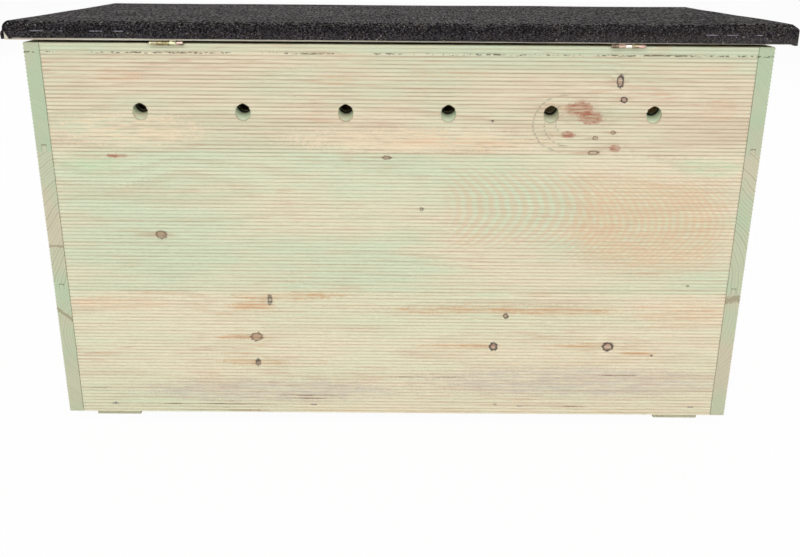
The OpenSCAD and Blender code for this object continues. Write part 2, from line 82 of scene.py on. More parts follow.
class Nodes:
    """Adds nodes to a tree. An input may be given a plain value or another node's output."""

    def __init__(self, tree):
        self.tree = tree

    def add(self, kind, inputs=None, **settings):
        node = self.tree.nodes.new(kind)
        for name, value in settings.items():
            setattr(node, name, value)
        self.feed(node, inputs or {})
        return node

    def feed(self, node, inputs):
        for key, value in inputs.items():
            if isinstance(value, bpy.types.NodeSocket):
                self.tree.links.new(value, node.inputs[key])
            else:
                node.inputs[key].default_value = value

    def object_place(self):
        return self.add("ShaderNodeTexCoord").outputs["Object"]

    def split(self, vector):
        return self.add("ShaderNodeSeparateXYZ", {0: vector}).outputs

    def join(self, x, y, z):
        return self.add("ShaderNodeCombineXYZ", {0: x, 1: y, 2: z}).outputs[0]

    def rotated(self, vector, rotation):
        node = self.add("ShaderNodeMapping", {"Vector": vector, "Rotation": rotation})
        return node.outputs[0]

    def math(self, operation, first, second=0.0, third=0.0, clamp=False):
        node = self.add("ShaderNodeMath", {0: first, 1: second, 2: third},
                        operation=operation, use_clamp=clamp)
        return node.outputs[0]

    def product(self, first, *others):
        for other in others:
            first = self.math("MULTIPLY", first, other)
        return first

    def line(self, value, slope, start, clamp=False):
        """start plus slope times value."""
        return self.math("MULTIPLY_ADD", value, slope, start, clamp)

    def distance(self, first, second):
        return self.math("ABSOLUTE", self.math("SUBTRACT", first, second))

    def step(self, value, low, high):
        """Rises smoothly from 0 at low to 1 at high, or falls where low is above high."""
        node = self.add("ShaderNodeMapRange", {"Value": value, "From Min": low, "From Max": high},
                        interpolation_type="SMOOTHSTEP")
        return node.outputs["Result"]

    def near(self, value, middle, reach, full):
        """1 where value lies within full of middle, falling to 0 at reach."""
        return self.step(self.distance(value, middle), reach, full)

    def vector(self, operation, first, second=(0.0, 0.0, 0.0)):
        node = self.add("ShaderNodeVectorMath", {0: first, 1: second}, operation=operation)
        return node.outputs["Value" if operation == "LENGTH" else "Vector"]

    def noise(self, place, per_metre, detail=2.0, roughness=0.5):
        """Noise between 0 and 1. per_metre is how many waves it has along X, Y and Z."""
        node = self.add("ShaderNodeTexNoise", {
            "Vector": self.vector("MULTIPLY", place, per_metre), "Scale": 1.0,
            "Detail": detail, "Roughness": roughness})
        return node.outputs["Fac"]

    def over(self, colour, layer, *shares):
        """A colour with another laid over it, as strongly as the product of the shares."""
        inputs = {0: self.product(*shares), 6: colour, 7: layer}
        return self.add("ShaderNodeMix", inputs, data_type="RGBA").outputs[2]

    def lit(self, colour, light):
        """A colour times a number."""
        return self.vector("MULTIPLY", colour, self.join(light, light, light))

    def group(self, tree, inputs):
        return self.add("ShaderNodeGroup", inputs, node_tree=tree).outputs

    def surface(self, colour, roughness, bump, inputs):
        """Ends a material. bump is height, strength and depth; inputs are the shader's others."""
        height, strength, depth = bump
        normal = self.add("ShaderNodeBump", {
            "Height": height, "Strength": strength, "Distance": depth}).outputs[0]
        shader = self.add("ShaderNodeBsdfPrincipled", {
            "Base Color": colour, "Roughness": roughness, "Normal": normal, **inputs})
        self.add("ShaderNodeOutputMaterial", {"Surface": shader.outputs[0]})


def new_group(name, inputs, outputs):
    """An empty shader group, as (nodes, inputs, output node). inputs gives each socket's type."""
    tree = bpy.data.node_groups.new(name, "ShaderNodeTree")
    for socket, kind in inputs.items():
        tree.interface.new_socket(name=socket, in_out="INPUT", socket_type="NodeSocket" + kind)
    for socket in outputs:
        tree.interface.new_socket(name=socket, in_out="OUTPUT", socket_type="NodeSocketFloat")
    nodes = Nodes(tree)
    return nodes, nodes.add("NodeGroupInput").outputs, nodes.add("NodeGroupOutput")


def new_material(name):
    material = bpy.data.materials.new(name)
    material.use_nodes = True
    material.node_tree.nodes.clear()
    return material, Nodes(material.node_tree)


# ---- Camera, light and floor ----

# The photograph's camera, from a fit of the walls' edges. It looks along -Y, and the angles are
# how far it looks down, is turned about Z and is tilted, in degrees
PHOTO_WIDTH = 800
FOCAL_PIXELS = 913.5
CAMERA_PLACE = (-0.0026, 0.8495, 0.3896)
CAMERA_ANGLES = (19.74, -0.05, 0.383)
SENSOR_WIDTH = 36.0

# Square lamps: place, aim, side and power in watts
LAMPS = {
    "key": ((0.9, 2.5, 1.9), (0.0, 0.1, 0.15), 2.2, 34.0),
    "fill": ((-1.5, 2.2, 1.6), (0.0, 0.1, 0.12), 2.2, 22.0),
    "above": ((0.0, -0.6, 2.4), (0.0, 0.0, 0.3), 2.4, 23.0),
    "front": ((0.3, -2.6, 1.2), (0.0, -0.1, 0.15), 2.2, 22.0),
}
WORLD_LIGHT = 0.28
WHITE = (1.0, 1.0, 1.0, 1.0)

FLOOR_REACH = 20
FLOOR_COLOUR = (0.93, 0.93, 0.93, 1.0)
# Share of plain white in what the camera sees of the floor. The rest shows the shadow
FLOOR_WHITE = 0.96


def place_camera():
    data = bpy.data.cameras.new("photo_camera")
    data.sensor_fit = "HORIZONTAL"
    data.sensor_width = SENSOR_WIDTH
    data.lens = SENSOR_WIDTH * FOCAL_PIXELS / PHOTO_WIDTH
    data.clip_start, data.clip_end = 0.05, 60
    camera = new_object("photo_camera", data)
    pitch, yaw, roll = (math.radians(angle) for angle in CAMERA_ANGLES)
    forward = Vector((-math.sin(yaw) * math.cos(pitch), -math.cos(yaw) * math.cos(pitch),
                      -math.sin(pitch)))
    level_right = Vector((-math.cos(yaw), math.sin(yaw), 0))
    level_up = level_right.cross(forward)
    right = level_right * math.cos(roll) + level_up * math.sin(roll)
    up = level_up * math.cos(roll) - level_right * math.sin(roll)
    turn = Matrix((right, up, -forward)).transposed().to_4x4()
    camera.matrix_world = Matrix.Translation(CAMERA_PLACE) @ turn
    bpy.context.scene.camera = camera


def place_lamp(name, place, aim, side, power):
    data = bpy.data.lights.new(name, "AREA")
    data.shape = "SQUARE"
    data.size = side
    data.energy = power
    toward = Vector(aim) - Vector(place)
    turn = toward.to_track_quat("-Z", "Y").to_matrix().to_4x4()
    new_object(name, data).matrix_world = Matrix.Translation(place) @ turn


def seen_directly(nodes):
    """1 for what the camera sees, also in gloss or through glass, and 0 for light on things."""
    path = nodes.add("ShaderNodeLightPath").outputs
    seen = nodes.math("ADD", path["Is Camera Ray"], path["Is Glossy Ray"])
    return nodes.math("ADD", seen, path["Is Transmission Ray"], clamp=True)


def light_world():
    """A pale world that the camera sees as white."""
    world = bpy.data.worlds.new("studio")
    bpy.context.scene.world = world
    world.use_nodes = True
    world.node_tree.nodes.clear()
    nodes = Nodes(world.node_tree)
    soft = nodes.add("ShaderNodeBackground", {"Color": WHITE, "Strength": WORLD_LIGHT})
    white = nodes.add("ShaderNodeBackground", {"Color": WHITE, "Strength": 1.0})
    mixed = nodes.add("ShaderNodeMixShader", {
        0: seen_directly(nodes), 1: soft.outputs[0], 2: white.outputs[0]})
    nodes.add("ShaderNodeOutputWorld", {"Surface": mixed.outputs[0]})


def lay_floor():
    """A plain pale floor that the camera sees as white, with the object's shadow on it."""
    mesh = bpy.data.meshes.new("floor")
    far = FLOOR_REACH
    corners = [(-far, -far, 0), (far, -far, 0), (far, far, 0), (-far, far, 0)]
    mesh.from_pydata(corners, [], [(0, 1, 2, 3)])
    material, nodes = new_material("pale_floor")
    matt = nodes.add("ShaderNodeBsdfDiffuse", {"Color": FLOOR_COLOUR})
    white = nodes.add("ShaderNodeEmission", {"Color": WHITE, "Strength": 1.0})
    share = nodes.product(seen_directly(nodes), FLOOR_WHITE)
    mixed = nodes.add("ShaderNodeMixShader", {0: share, 1: matt.outputs[0], 2: white.outputs[0]})
    nodes.add("ShaderNodeOutputMaterial", {"Surface": mixed.outputs[0]})
    mesh.materials.append(material)
    new_object("floor", mesh)


# ---- Pine ----

CREAM = srgb(231, 219, 193)
GREEN = srgb(211, 219, 191)
LATE_WOOD = srgb(188, 158, 128)
PINK_BROWN = srgb(210, 168, 142)
# Brown tint and painted shade in the reeds' grooves
GROOVE_BROWN_AND_SHADE = srgb(170, 157, 128)
SPECK = srgb(84, 82, 62)
ARC_GREY = srgb(120, 124, 112)
ARCH_PINK = srgb(216, 184, 152)
INNER_GREEN = srgb(222, 234, 204)
# Green of the treatment, darkened as painted shade deep in the vents and joints
SHADED_DEEP_GREEN = srgb(140, 152, 124)
# Painted shadow in the far ends of the vents
VENT_SHADOW = srgb(34, 36, 28)
# Painted shade in the gap under the lid
LID_GAP_SHADE = srgb(112, 102, 80)
END_GREEN = srgb(188, 204, 172)
END_BROWN = srgb(206, 198, 172)
END_RING = srgb(156, 154, 126)
END_STRIPE = srgb(150, 136, 108)
PLY_BROWN = srgb(168, 134, 94)

PLY_COUNT = 5
# A broken row of dark specks that the saw left below the top of the walls, and how far it wanders
SPECK_ROW = WALL_TOP - 7.1 * MM
SPECK_WANDER = 1.4 * MM
# Width of a year's ring where a board shows its face or its end, and in the plainer wood
FACE_RING = 4.2 * MM
END_RING_WIDTH = 2.4 * MM
PLAIN_RING = 5.5 * MM


def make_grain_group():
    """Solid pine. X runs along the grain, and Pith is the heart's place beside the board."""
    nodes, given, result = new_group(
        "pine_grain", {"Position": "Vector", "Pith": "Vector", "Spacing": "Float",
                       "Push": "Float", "Seed": "Float"},
        ("Ring", "Streak", "Fibre", "Patch"))
    seed = given["Seed"]
    place = nodes.vector("ADD", given["Position"], nodes.join(seed, seed, seed))
    # The rings are wavy, with slow waves and small quick ones
    across = nodes.vector("SUBTRACT", given["Position"], given["Pith"])
    radius = nodes.vector("LENGTH", nodes.vector("MULTIPLY", across, (0.0, 1.0, 1.0)))
    radius = nodes.line(nodes.noise(place, (3.0, 11.0, 11.0), 1.0), 30 * MM, radius)
    radius = nodes.line(nodes.noise(place, (16.0, 90.0, 90.0)), 2.2 * MM, radius)
    radius = nodes.math("ADD", radius, given["Push"])
    # A ring darkens slowly and ends sharply, and is stronger in some years than in others
    turns = nodes.math("DIVIDE", radius, given["Spacing"])
    part = nodes.math("FRACT", turns)
    years = nodes.join(nodes.split(place)[X], nodes.math("FLOOR", turns), seed)
    year = nodes.noise(years, (5.0, 1.0, 1.0), 1.0)
    streaks = nodes.noise(place, (38.0, 260.0, 520.0))
    where = nodes.noise(place, (7.0, 24.0, 42.0))
    nodes.feed(result, {
        "Ring": nodes.product(nodes.step(part, 0.35, 0.86), nodes.step(part, 1.0, 0.90),
                              nodes.step(year, 0.25, 0.75)),
        "Streak": nodes.product(nodes.step(streaks, 0.50, 0.68), nodes.step(where, 0.40, 0.66)),
        "Fibre": nodes.noise(place, (110.0, 1900.0, 1900.0), 2.0, 0.6),
        "Patch": nodes.noise(place, (5.0, 16.0, 22.0), 3.0, 0.55)})
    return nodes.tree


def make_knot_group():
    """A knot at Place, with half sizes in Size. Rim is its outline, Tail the stained grain beside
    it and Near the wood round it."""
    nodes, given, result = new_group(
        "knot", {"Position": "Vector", "Place": "Vector", "Size": "Vector"},
        ("Core", "Rim", "Tail", "Near"))
    away = nodes.vector("SUBTRACT", given["Position"], given["Place"])
    away = nodes.vector("DIVIDE", away, given["Size"])
    ragged = nodes.noise(given["Position"], (560.0, 560.0, 560.0))
    far = nodes.math("ADD", nodes.vector("LENGTH", away), nodes.math("SUBTRACT", ragged, 0.5))
    # Darker and lighter fibres run through it
    fibres = nodes.noise(given["Position"], (60.0, 200.0, 640.0), 2.0, 0.6)
    fibres = nodes.line(nodes.step(fibres, 0.38, 0.6), 0.75, 0.25)
    along, _, up = nodes.split(away)
    nodes.feed(result, {
        "Core": nodes.product(nodes.step(far, 1.1, 0.55), fibres),
        "Rim": nodes.product(nodes.step(far, 0.5, 0.85), nodes.step(far, 1.25, 0.9)),
        "Tail": nodes.product(nodes.near(along, 1.2, 5.0, 0.6), nodes.near(up, 0.0, 1.0, 0.15)),
        "Near": nodes.step(far, 3.2, 0.4)})
    return nodes.tree


GRAIN = make_grain_group()
KNOT = make_knot_group()
# Half depth of a knot, which is far more than the boards' thickness
KNOT_DEPTH = 0.1

# How a kind of knot looks: core colour and strength, rim colour and strength, tail strength
KNOT_KINDS = {
    "red": (srgb(166, 98, 74), 0.95, srgb(180, 124, 100), 0.45, 0.35),
    "brown": (srgb(158, 128, 104), 0.65, srgb(112, 84, 68), 0.8, 0.5),
    "black": (srgb(66, 56, 60), 0.8, srgb(52, 46, 54), 0.6, 0.25),
    "outlined": (srgb(162, 122, 108), 0.7, srgb(58, 44, 48), 0.95, 0.3),
    "patch": (srgb(190, 212, 176), 0.6, srgb(190, 212, 176), 0.1, 0.0),
}
# Stains and tints have neither a rim nor a tail: colour and strength
STAIN_KINDS = {
    "stain": (srgb(200, 150, 102), 1.0),
    "blush": (srgb(222, 170, 136), 0.5),
    "line": (srgb(132, 106, 80), 1.5),
    "tan": (srgb(222, 184, 148), 0.42),
    "cream": (srgb(240, 222, 192), 0.75),
    "grey": (srgb(196, 184, 174), 0.6),
}
# Kinds that only tint the wood. The others push its rings aside
TINTS = ("blush", "line", "tan", "cream", "grey")

# How a reeded board and its end grain look. Lengths are millimetres, here and in the next tables
PLAIN_BOARD = {
    "green": 0.4,  # how green it is
    "uneven": 1.0,  # how much its green varies
    "lean": 0.0,  # how much greener it is at +X
    "warmth": 0.5,  # how strong its rings and streaks are
    "grooves": 0.62,  # how dark its grooves are, by brown tint and painted shade
    "pale": 1.0,  # its lightness, higher on lower boards and lower under the lid, partly as painted light
    "specks": None,  # strength of the saw's specks at -X and at +X
    "vents": False,  # whether its vents get painted shadow at their far ends
    "knots": (),  # knots and stains: along, up, half sizes and kind
    "arches": (),  # nested arches of flat grain: along, up, half height, reach, spacing, strength
    "arcs": (),  # ring lines beside a knot: along, up and half sizes
    "ends": {},  # what differs from PLAIN_END
}
PLAIN_END = {
    "turn": 0,  # a height at which its green changes
    "below": 0.4,  # how green it is below that
    "above": 0.4,  # and above
    "rings": 0.5,  # how dark its rings are
    "heart": (40, -60),  # the heart's place beside the board
    "stripes": (),  # brown stripes: height, slant and half thickness
}
# The lower boards are lighter than the upper one, partly as painted light
REAR_LOOKS = {
    "lower": {
        "green": 0.34, "warmth": 0.45, "lean": 0.05, "pale": 1.14, "uneven": 0.45,
        "knots": [
            (-150, 40, 150, 17, "grey"), (110, 30, 130, 13, "grey"), (72, 24, 34, 2.6, "line"),
            (159, 17, 70, 2.4, "line"), (150, 11.5, 44, 2.2, "line"), (-136, 17, 30, 2.4, "line"),
            (-24, 44, 34, 2.4, "line"), (-190, 46, 18, 2.0, "line"), (260, 30, 16, 2.4, "line"),
            (-236, 104, 46, 16, "blush"), (236, 110, 50, 8, "blush"),
            (98, 117, 50, 3.6, "stain"), (70, 119, 34, 3.0, "stain"), (122, 109, 24, 4.6, "stain"),
            (124, 57, 34, 3.2, "stain"), (134, 80, 26, 2.2, "stain"), (-56, 106, 80, 3.6, "stain"),
            (-143, 105, 54, 4.0, "stain"), (-54, 73.5, 36, 2.4, "stain"),
            (-158, 74, 28, 2.4, "stain"), (-206, 67, 20, 1.8, "stain"),
            (106.7, 114, 2.0, 4.4, "black"), (119.3, 80.5, 5, 3.8, "brown"),
            (119, 56.8, 2.2, 3.2, "black"), (-91, 101, 2.3, 2.3, "outlined"),
            (-81.8, 72.8, 3.5, 3.5, "outlined"), (-179, 73.5, 4.8, 3.9, "outlined"),
            (-217, 65.5, 1.2, 1.0, "black"), (245, 17.5, 0.8, 0.7, "black"),
            (-85.5, 18, 1.6, 0.6, "black")]},
    "middle": {
        "green": 0.7, "warmth": 0.1, "lean": 0.2, "pale": 1.11,
        "arches": [(-104, 194, 44, 78, 8.8, 0.36), (-204, 182, 50, 80, 6, 0.38)],
        "knots": [
            (243, 229, 26, 9, "patch"), (-246, 229, 30, 8, "patch"), (-206, 180, 70, 49, "tan"),
            (223, 235.5, 8, 1.6, "red"), (9, 235.5, 3.4, 1.6, "brown"),
            (193, 170.5, 4.6, 3.4, "brown"), (-19, 193.5, 1.6, 1.4, "black"),
            (-241, 129, 1.2, 0.8, "black")]},
    "upper": {
        "green": 0.28, "warmth": 0.55, "lean": 0.12, "pale": 1.06, "grooves": 0.8,
        "specks": (0.6, 0.2), "vents": True,
        "arcs": [(-129, 263, 24, 22), (-132, 262, 18, 16), (-137, 263, 14, 10)],
        "knots": [
            (212, 256, 70, 16, "cream"), (-20, 249, 120, 11, "cream"),
            (51, 295.5, 20, 4.5, "blush"), (55, 267, 22, 5.5, "blush"), (-41, 301, 36, 4, "blush"),
            (217, 297, 22, 6, "blush"), (-249, 273, 18, 10, "blush"),
            (-243, 307, 18, 3.5, "blush"), (-41, 248, 56, 4, "blush"),
            (-141, 275, 10, 5.5, "red"), (-150, 268, 9, 5, "red"), (-133, 254.5, 5, 2.6, "red"),
            (-154.5, 252, 2, 1.4, "brown"), (-154, 240.5, 4.2, 1.7, "brown"),
            (-168, 256.5, 2, 1.4, "brown"), (-170.5, 244, 4.5, 2.8, "red"),
            (-170.5, 296, 2.6, 5, "outlined"), (-174.5, 282, 2.4, 2.4, "outlined"),
            (-73.5, 265, 1.2, 0.9, "black")]},
}
SIDE_ENDS = {
    "right_board_upper": {"below": 1.0, "above": 1.0, "rings": 0.2, "heart": (45, -70)},
    "right_board_middle": {"below": 0.85, "above": 0.15, "turn": 160, "rings": 0.7,
                           "heart": (-75, -70), "stripes": [(160, 0.05, 1.2)]},
    "right_board_lower": {"below": 0.85, "above": 0.95, "turn": 100, "rings": 0.4,
                          "heart": (-60, 10), "stripes": [(100, 0.83, 2.4)]},
    "left_board_upper": {"below": 0.95, "above": 0.95, "rings": 0.25, "heart": (50, -60)},
    "left_board_middle": {"below": 1.05, "above": 0.65, "turn": 190, "rings": 0.65,
                          "heart": (80, -55)},
    "left_board_lower": {"below": 0.15, "above": 0.6, "turn": 75, "rings": 0.4,
                         "heart": (60, 40), "stripes": [(117, -0.2, 4.5)]},
}


def chance_knots(seed, low, high, count):
    """Knots for a board that the photograph doesn't show, in millimetres as in REAR_LOOKS."""
    pick = random.Random(seed)
    edge = 6 * MM
    knots = []
    for _ in range(count):
        kind = pick.choice(["brown", "brown", "red", "outlined", "black"])
        wide = pick.uniform(1.2, 5.5) if kind != "black" else pick.uniform(0.8, 1.8)
        knots.append((pick.uniform(low.x, high.x) / MM,
                      pick.uniform(low.z + edge, high.z - edge) / MM,
                      wide, wide * pick.uniform(0.6, 0.9), kind))
    return knots


def wood_surface(nodes, colour, roughness, fibre):
    nodes.surface(colour, roughness, (fibre, 0.35, 0.2 * MM), {"Specular IOR Level": 0.25})


class Board:
    """The material of a reeded board, laid on in layers. face is the axis and the sign of its
    reeded side, and look gives what differs from PLAIN_BOARD."""

    def __init__(self, name, face, seed, look):
        self.look = {**PLAIN_BOARD, **look}
        self.end_look = {**PLAIN_END, **self.look["ends"]}
        self.axis, sign = face
        self.low, self.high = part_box(name)
        self.middle = (self.low + self.high) / 2
        self.material, self.nodes = new_material(name + "_pine")
        nodes = self.nodes
        self.place = nodes.object_place()
        self.apart = nodes.split(self.place)
        # The wood grows along X, also in the side boards
        turned = nodes.rotated(self.place, (0.0, 0.0, QUARTER if self.axis == X else 0.0))
        # Depth of a point behind the tops of the reeds, as a share of the grooves' depth
        outer = (self.high if sign > 0 else self.low)[self.axis]
        depth = nodes.math("SUBTRACT", outer, self.apart[self.axis])
        self.depth = nodes.product(depth, sign / REED_DEPTH)
        # Grooves darken with painted shade and with a brown tint where grime and late wood lie,
        # some lengths more than others
        self.lengths = nodes.noise(turned, (17.0, 0.0, 230.0), 2.0, 0.6)
        groove = nodes.product(nodes.step(self.depth, 0.15, 1.0), nodes.step(self.depth, 3.5, 2.4))
        groove_dirt_and_shade = nodes.line(nodes.step(self.lengths, 0.36, 0.66), 0.6, 0.4)
        # Above the saw's specks the wood has taken up more green, and its grooves are paler
        self.strip = 0.0
        if self.look["specks"]:
            self.strip = nodes.step(self.apart[Z], SPECK_ROW - 0.5 * MM, SPECK_ROW + 0.5 * MM)
        self.groove = nodes.product(groove, groove_dirt_and_shade, nodes.line(self.strip, -0.5, 1.0))
        self.knots, push = self.grow_knots(turned)
        self.grain = self.grow_grain(turned, sign, seed, push)

    def grow_knots(self, turned):
        """The knots, as outputs and kind, and how far they push the rings aside."""
        knots = []
        push = 0.0
        for along, up, half_wide, half_high, kind in self.look["knots"]:
            knot = self.nodes.group(KNOT, {
                "Position": turned, "Place": (along * MM, self.middle[self.axis], up * MM),
                "Size": (half_wide * MM, KNOT_DEPTH, half_high * MM)})
            if kind not in TINTS:
                push = self.nodes.line(knot["Near"], 0.8 * half_high * MM, push)
            knots.append((knot, kind))
        return knots, push

    def grow_grain(self, turned, sign, seed, push):
        """The grain, with the heart beside the board and at a height of its own."""
        if self.axis == Y:
            beside, above = -sign * 45 * MM, (seed % 3 - 1) * 30 * MM
        else:
            beside, above = (part * MM for part in self.end_look["heart"])
        return self.nodes.group(GRAIN, {
            "Position": turned, "Push": push, "Seed": seed * 0.37,
            "Spacing": FACE_RING if self.axis == Y else END_RING_WIDTH,
            "Pith": (0.0, self.middle[self.axis] + beside, self.middle.z + above)})

    def finish(self):
        """Lays on the layers and returns the material."""
        colour = self.wood()
        for layer in (self.treatment, self.ends, self.arches, self.knot_colours, self.marks):
            colour = layer(colour)
        fibre, pale = self.grain["Fibre"], self.look["pale"]
        # Fibre, and the board's lightness, which is partly painted light
        colour = self.nodes.lit(colour, self.nodes.line(fibre, 0.10 * pale, 0.95 * pale))
        wood_surface(self.nodes, colour, 0.62, fibre)
        return self.material

    def wood(self):
        """The colour of the wood's face: its green, rings, streaks and grooves, whose darkening is
        partly painted shade.
        """
        nodes, look, grain = self.nodes, self.look, self.grain
        uneven, warmth = look["uneven"], look["warmth"]
        tint = nodes.line(nodes.step(grain["Patch"], 0.35, 0.68), uneven,
                          look["green"] - 0.5 * uneven)
        tint = nodes.line(self.apart[X], look["lean"] / SIDE_X, tint)
        tint = nodes.line(self.strip, 0.55, tint)
        tint = nodes.line(nodes.math("SUBTRACT", 0.5, self.lengths), 1.3, tint, clamp=True)
        colour = nodes.over(CREAM, GREEN, tint)
        colour = nodes.over(colour, LATE_WOOD, grain["Ring"], 0.22 + 0.22 * warmth)
        colour = nodes.over(colour, PINK_BROWN, grain["Streak"], 0.25 + 0.4 * warmth)
        # Brown tint and painted shade in the grooves
        return nodes.over(colour, GROOVE_BROWN_AND_SHADE, self.groove, look["grooves"])

    def covered(self):
        """1 on the edge that the lid covers."""
        return self.nodes.step(self.apart[Z], WALL_TOP - 0.5 * MM, WALL_TOP - 0.1 * MM)

    def treatment(self, colour):
        """Green treatment taken up in the vents and joints, darker deeper in as painted shade, and
        painted shade in the gap under the lid.
        """
        nodes, depth = self.nodes, self.depth
        # Green treatment in the vents and joints, darker deeper in as painted shade
        soaked_and_shaded = nodes.over(INNER_GREEN, SHADED_DEEP_GREEN, nodes.step(depth, 4.0, 13.0), 0.7)
        inside = nodes.product(nodes.step(depth, 1.6, 3.0), nodes.step(depth, 16.5, 14.0))
        colour = nodes.over(colour, soaked_and_shaded, inside, 0.9)
        # Painted shade on the walls' top edges in the gap under the lid, patchy along the fibres
        patchy = nodes.line(nodes.step(self.grain["Fibre"], 0.3, 0.7), 0.3, 0.6)
        return nodes.over(colour, LID_GAP_SHADE, self.covered(), patchy)

    def ends(self, colour):
        """The ends across the grain, which take up more of the treatment."""
        nodes, look, up = self.nodes, self.end_look, self.apart[Z]
        along, edge = (X, 0.6 * MM) if self.axis == Y else (Y, 0.9 * MM)
        half = (self.high[along] - self.low[along]) / 2
        off = nodes.distance(self.apart[along], self.middle[along])
        there = nodes.step(off, half - edge, half - edge / 3)
        above = nodes.step(up, (look["turn"] - 3) * MM, (look["turn"] + 3) * MM)
        tint = nodes.line(above, look["above"] - look["below"], look["below"] - 0.5)
        tint = nodes.math("ADD", nodes.step(self.grain["Patch"], 0.35, 0.75), tint, clamp=True)
        end = nodes.over(END_BROWN, END_GREEN, tint)
        end = nodes.over(end, END_RING, self.grain["Ring"], look["rings"])
        for height, slant, thick in look["stripes"]:
            off = nodes.math("SUBTRACT", up, height * MM - slant * self.middle.x)
            off = nodes.line(self.apart[X], -slant, off)
            ragged = nodes.noise(self.place, (340.0, 340.0, 340.0))
            off = nodes.line(nodes.math("SUBTRACT", ragged, 0.5), 2 * thick * MM, off)
            stripe = nodes.near(off, 0.0, thick * MM, 0.4 * thick * MM)
            end = nodes.over(end, END_STRIPE, stripe, 0.65)
        return nodes.over(colour, end, there, nodes.math("SUBTRACT", 1.0, self.covered()))

    def arches(self, colour):
        """Nested arches that point towards -X, where the saw ran along the rings."""
        nodes = self.nodes
        for along, up, half_high, reach, spacing, strength in self.look["arches"]:
            away = nodes.vector("SUBTRACT", self.place, (along * MM, 0.0, up * MM))
            beside, _, above = nodes.split(away)
            wander = nodes.noise(self.place, (30.0, 0.0, 70.0))
            bow = nodes.product(above, above, -24.0)
            arch = nodes.math("ADD", nodes.line(wander, 7 * MM, beside), bow)
            band = nodes.math("FRACT", nodes.math("DIVIDE", arch, spacing * MM))
            band = nodes.product(nodes.step(band, 0.1, 0.5), nodes.step(band, 1.0, 0.75))
            near = nodes.product(nodes.near(beside, 0.0, reach * MM, 0.6 * reach * MM),
                                 nodes.near(above, 0.0, half_high * MM, 0.5 * half_high * MM))
            colour = nodes.over(colour, ARCH_PINK, band, near, strength)
        return colour

    def knot_colours(self, colour):
        nodes = self.nodes
        for knot, kind in self.knots:
            if kind in STAIN_KINDS:
                core, share = STAIN_KINDS[kind]
                if kind in ("stain", "blush"):
                    # Resin has run along the grooves
                    share = nodes.line(self.groove, 0.65 * share, 0.4 * share, clamp=True)
                elif kind == "line":
                    share = nodes.math("MULTIPLY", self.groove, share, clamp=True)
                colour = nodes.over(colour, core, knot["Core"], share)
            else:
                core, share, rim, rim_share, tail_share = KNOT_KINDS[kind]
                colour = nodes.over(colour, LATE_WOOD, knot["Tail"], tail_share)
                colour = nodes.over(colour, core, knot["Core"], share)
                colour = nodes.over(colour, rim, knot["Rim"], rim_share)
        return colour

    def marks(self, colour):
        """Ring lines beside a knot, the saw's specks and painted shadow in the far ends of the
        vents.
        """
        nodes, look = self.nodes, self.look
        for along, up, half_wide, half_high in look["arcs"]:
            size = (half_wide * MM, 1.0, half_high * MM)
            line = self.growth_arc((along * MM, 0.0, up * MM), size)
            # The rings show on the reeds' tops, and less in the grooves
            colour = nodes.over(colour, ARC_GREY, line, nodes.step(self.depth, 0.5, 0.1))
        if look["specks"]:
            colour = nodes.over(colour, SPECK, self.saw_specks(*look["specks"]))
        if look["vents"]:
            # Painted shadow in the far end of the vents
            colour = nodes.over(colour, VENT_SHADOW, nodes.step(self.depth, 11.8, 14.2),
                                nodes.step(self.depth, 17.0, 16.6))
        return colour

    def growth_arc(self, middle, size):
        """A thin broken line round the +X half of an ellipse."""
        nodes = self.nodes
        away = nodes.vector("DIVIDE", nodes.vector("SUBTRACT", self.place, middle), size)
        away = nodes.vector("MULTIPLY", away, (1.0, 0.0, 1.0))
        wander = nodes.noise(self.place, (90.0, 0.0, 90.0))
        radius = nodes.line(wander, 0.16, 0.92)
        line = nodes.near(nodes.vector("LENGTH", away), radius, 0.045, 0.015)
        half = nodes.step(nodes.split(away)[X], -0.35, 0.2)
        gaps = nodes.noise(self.place, (160.0, 0.0, 160.0), 1.0)
        return nodes.product(line, half, nodes.line(gaps, 0.7, 0.1))

    def saw_specks(self, strong, weak):
        """The saw's specks. strong is how dark they are at -X, and weak at +X."""
        nodes = self.nodes
        wander = nodes.noise(self.place, (60.0, 60.0, 0.0))
        row = nodes.line(wander, SPECK_WANDER, SPECK_ROW - SPECK_WANDER / 2)
        line = nodes.near(self.apart[Z], row, 0.95 * MM, 0.25 * MM)
        breaks = nodes.noise(self.place, (420.0, 420.0, 900.0), 2.0, 0.6)
        groups = nodes.noise(self.place, (22.0, 22.0, 0.0), 1.0)
        share = nodes.line(nodes.step(self.apart[X], 60 * MM, -250 * MM), strong - weak, weak)
        # A long scar at +X
        scar = nodes.near(self.apart[X], 175 * MM, 42 * MM, 22 * MM)
        share = nodes.line(scar, 0.35, share)
        there = nodes.math("ADD", groups, nodes.line(breaks, 1.5, -0.25))
        there = nodes.math("ADD", there, nodes.product(share, 0.4))
        return nodes.product(line, nodes.step(there, 1.16, 1.28), 0.85)


